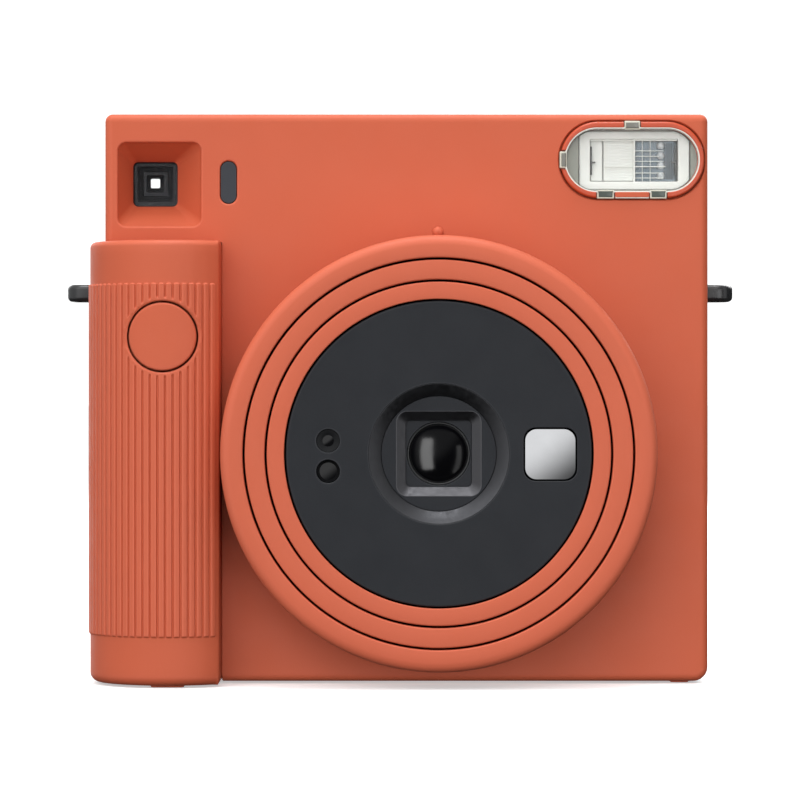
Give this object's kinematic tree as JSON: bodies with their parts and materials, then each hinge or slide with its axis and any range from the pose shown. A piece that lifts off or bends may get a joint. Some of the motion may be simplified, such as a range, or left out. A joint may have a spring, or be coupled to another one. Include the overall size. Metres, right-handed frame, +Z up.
{
  "type": "instant camera",
  "caption": "Square-format instant camera with a telescoping lens, a ribbed grip, a flash and a swing-open film door.",
  "frame": {"origin": "middle of the bounding box's footprint, at the plane of the feet", "axes": "+X to the right as seen from the front, +Y from the lens to the film door, +Z up"},
  "size_m": [0.143, 0.0576, 0.1193],
  "materials": {
    "shell": "satin moulded plastic",
    "black": "satin",
    "steel": "satin",
    "mirror": "polished",
    "glass": "coated",
    "clear": "clear",
    "window": "smoked gloss",
    "white": "moulded",
    "board": "solder resist",
    "battery": "printed sleeve"
  },
  "bodies": {
    "camera_body": {"front_cover": "shell", "rear_cover": "shell", "grip_cover": "shell", "lens_mount": "black", "light_shield": "black", "film_chamber": "black", "film_pack": "black", "viewfinder_tunnel": "black", "viewfinder_front_lens": "glass", "viewfinder_rear_lens": "glass", "eyepiece_frame": "black", "counter_window": "clear", "metering_window": "window", "flash_bezel": "shell", "flash_window": "clear", "flash_reflector": "mirror", "flash_tube": "clear", "flash_capacitor": "black", "release_board": "board", "release_switch": "black", "battery_holder": "black", "battery_front": "battery", "battery_rear": "battery", "battery_bridge": "steel", "motor": "steel", "main_board": "board", "strap_lug_left": "black", "strap_lug_right": "black", "case_screw_1": "steel", "case_screw_2": "steel", "case_screw_3": "steel", "door_hinge_pin": "steel", "button_spring": "steel"},
    "lens_ring": {"lens_ring": "shell"},
    "barrel_outer": {"barrel_outer": "shell"},
    "barrel_inner": {"barrel_inner": "shell", "lens_face_plate": "black", "lens_hood": "black", "front_lens": "glass", "rear_lens": "glass", "shutter_housing": "black", "selfie_mirror": "mirror", "light_meter_lens": "glass", "flash_meter_lens": "glass"},
    "shutter_blade_left": {"shutter_blade_left": "steel"},
    "shutter_blade_right": {"shutter_blade_right": "steel"},
    "shutter_button": {"shutter_button": "shell"},
    "back_door": {"back_door": "shell", "door_window": "window", "pressure_plate": "steel"},
    "door_latch": {"door_latch": "shell"},
    "battery_cover": {"battery_cover": "shell"},
    "ejection_flap": {"ejection_flap": "black"},
    "drive_roller": {"drive_roller": "steel"},
    "pinch_roller": {"pinch_roller": "steel"},
    "idler_gear": {"idler_gear": "white"},
    "motor_pinion": {"motor_pinion": "white"},
    "counter_dial": {"counter_dial": "white"},
    "film_pick": {"film_pick": "steel"}
  },
  "joints": [
    {"name": "lens_ring_turn", "type": "hinge", "parent": "camera_body", "child": "lens_ring", "pos_m": [0.00795, -0.02, 0.0484], "axis": [0, 1, 0], "range_deg": [0, 90]},
    {"name": "barrel_outer_slide", "type": "slide", "parent": "camera_body", "child": "barrel_outer", "axis": [0, -1, 0], "range_m": [0, 0.006]},
    {"name": "barrel_inner_slide", "type": "slide", "parent": "barrel_outer", "child": "barrel_inner", "axis": [0, -1, 0], "range_m": [0, 0.006]},
    {"name": "shutter_blade_left_swing", "type": "hinge", "parent": "barrel_inner", "child": "shutter_blade_left", "pos_m": [-0.00055, -0.0176, 0.0484], "axis": [0, 1, 0], "range_deg": [0, 50], "stiffness_Nm_per_rad": 0.00002, "springref_deg": -28.65},
    {"name": "shutter_blade_right_swing", "type": "hinge", "parent": "barrel_inner", "child": "shutter_blade_right", "pos_m": [0.01645, -0.0168, 0.0484], "axis": [0, 1, 0], "range_deg": [0, 50]},
    {"name": "shutter_press", "type": "slide", "parent": "camera_body", "child": "shutter_button", "axis": [0, 1, 0], "range_m": [0, 0.0015], "stiffness_N_per_m": 600, "springref_m": -0.0005, "deforming": ["button_spring"]},
    {"name": "door_swing", "type": "hinge", "parent": "camera_body", "child": "back_door", "pos_m": [0.0619, 0.027, 0.0575], "axis": [0, 0, -1], "range_deg": [0, 110]},
    {"name": "latch_slide", "type": "slide", "parent": "back_door", "child": "door_latch", "axis": [0, 0, 1], "range_m": [0, 0.004], "stiffness_N_per_m": 60, "springref_m": -0.002},
    {"name": "battery_cover_swing", "type": "hinge", "parent": "camera_body", "child": "battery_cover", "pos_m": [-0.04925, 0.01675, 0.00155], "axis": [1, 0, 0], "range_deg": [0, 95]},
    {"name": "flap_swing", "type": "hinge", "parent": "camera_body", "child": "ejection_flap", "pos_m": [0.00795, 0.0123, 0.1182], "axis": [-1, 0, 0], "range_deg": [0, 80], "stiffness_Nm_per_rad": 0.0002, "springref_deg": -11.46},
    {"name": "drive_roller_spin", "type": "hinge", "parent": "camera_body", "child": "drive_roller", "pos_m": [0, 0.0077, 0.11], "axis": [1, 0, 0], "continuous": true},
    {"name": "pinch_roller_spin", "type": "hinge", "parent": "camera_body", "child": "pinch_roller", "pos_m": [0, 0.0153, 0.11], "axis": [1, 0, 0], "continuous": true},
    {"name": "idler_spin", "type": "hinge", "parent": "camera_body", "child": "idler_gear", "pos_m": [-0.0371, 0.0055, 0.09496], "axis": [1, 0, 0], "continuous": true},
    {"name": "motor_pinion_spin", "type": "hinge", "parent": "camera_body", "child": "motor_pinion", "pos_m": [-0.0371, 0.005, 0.07977], "axis": [1, 0, 0], "continuous": true},
    {"name": "counter_turn", "type": "hinge", "parent": "camera_body", "child": "counter_dial", "pos_m": [-0.0515, 0.0211, 0.082], "axis": [0, 1, 0], "range_deg": [0, 330]},
    {"name": "film_pick_slide", "type": "slide", "parent": "camera_body", "child": "film_pick", "axis": [0, 0, 1], "range_m": [0, 0.006]}
  ],
  "couplings": [
    {"joint": "barrel_outer_slide", "follows": "lens_ring_turn", "m_per_rad": 0.0038},
    {"joint": "barrel_inner_slide", "follows": "lens_ring_turn", "m_per_rad": 0.0038},
    {"joint": "shutter_blade_right_swing", "follows": "shutter_blade_left_swing", "ratio": 1},
    {"joint": "pinch_roller_spin", "follows": "drive_roller_spin", "ratio": -1},
    {"joint": "idler_spin", "follows": "drive_roller_spin", "ratio": -0.33333},
    {"joint": "motor_pinion_spin", "follows": "drive_roller_spin", "ratio": 1}
  ]
}
